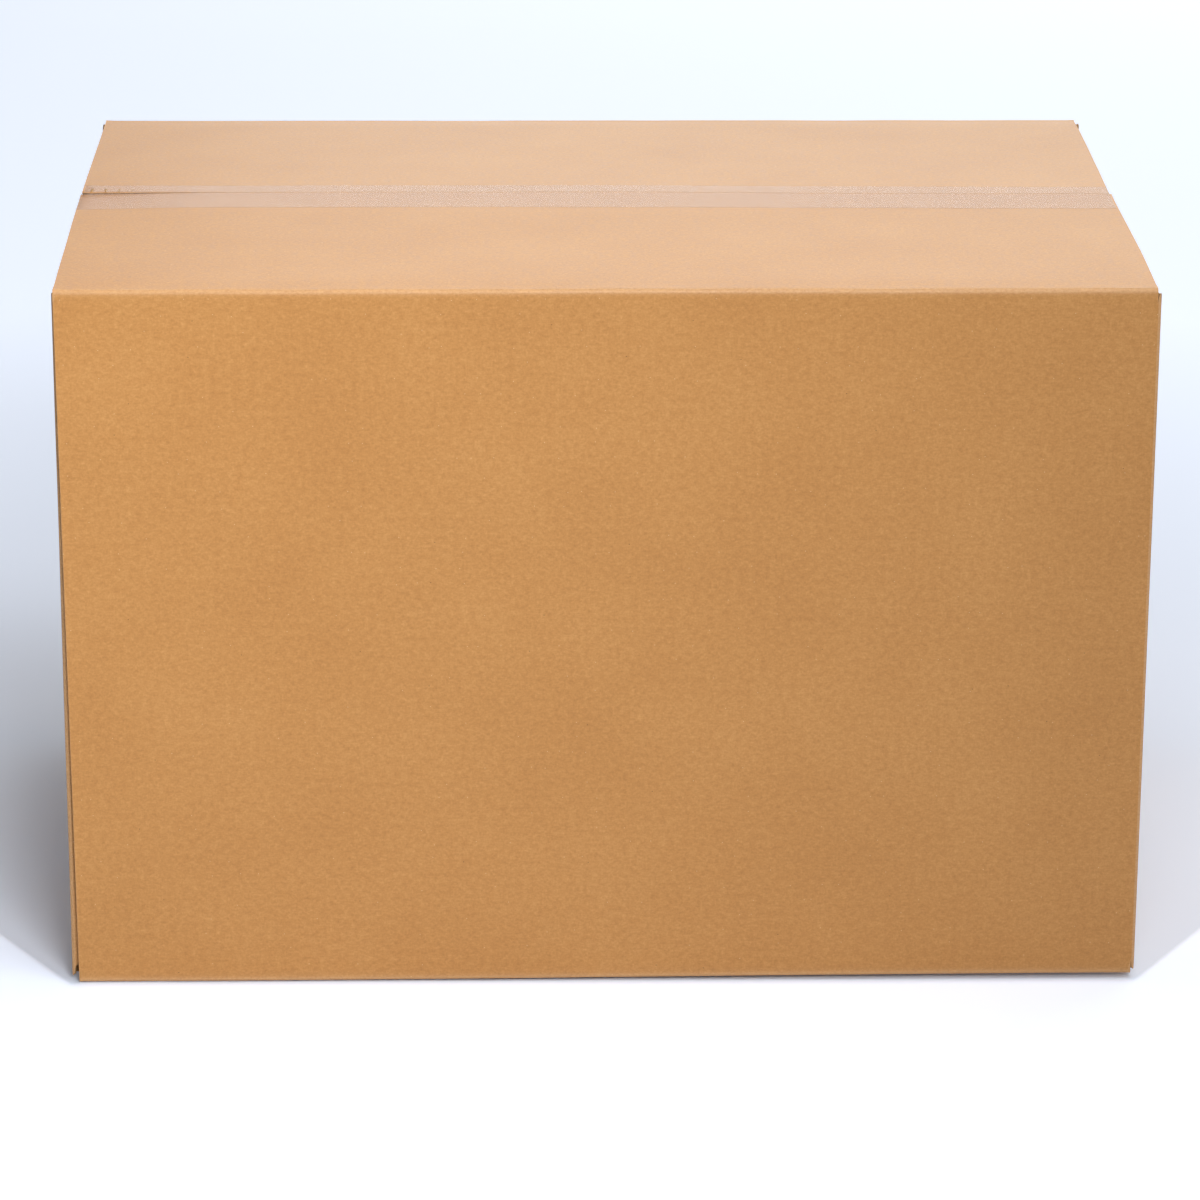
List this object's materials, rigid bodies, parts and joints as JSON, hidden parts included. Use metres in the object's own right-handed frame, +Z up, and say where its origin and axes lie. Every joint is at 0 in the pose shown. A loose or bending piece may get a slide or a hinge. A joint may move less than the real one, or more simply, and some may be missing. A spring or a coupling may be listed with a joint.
{
  "type": "corrugated box",
  "caption": "Plain brown slotted carton of single-wall corrugated board, closed and taped over the seams of its long flaps.",
  "frame": {"origin": "middle of the underside, on the surface the carton stands on", "axes": "+X along the long sides, towards the right of the front; +Y from the front to the back; +Z up"},
  "size_m": [0.6012, 0.4, 0.4086],
  "materials": {
    "board": "matt brown kraft liner with fine fibres",
    "tape": "clear packing tape, slightly glossy, seen over the board"
  },
  "bodies": {
    "root": {"carton": "board", "top_tape": "tape", "bottom_tape": "tape"}
  },
  "joints": []
}
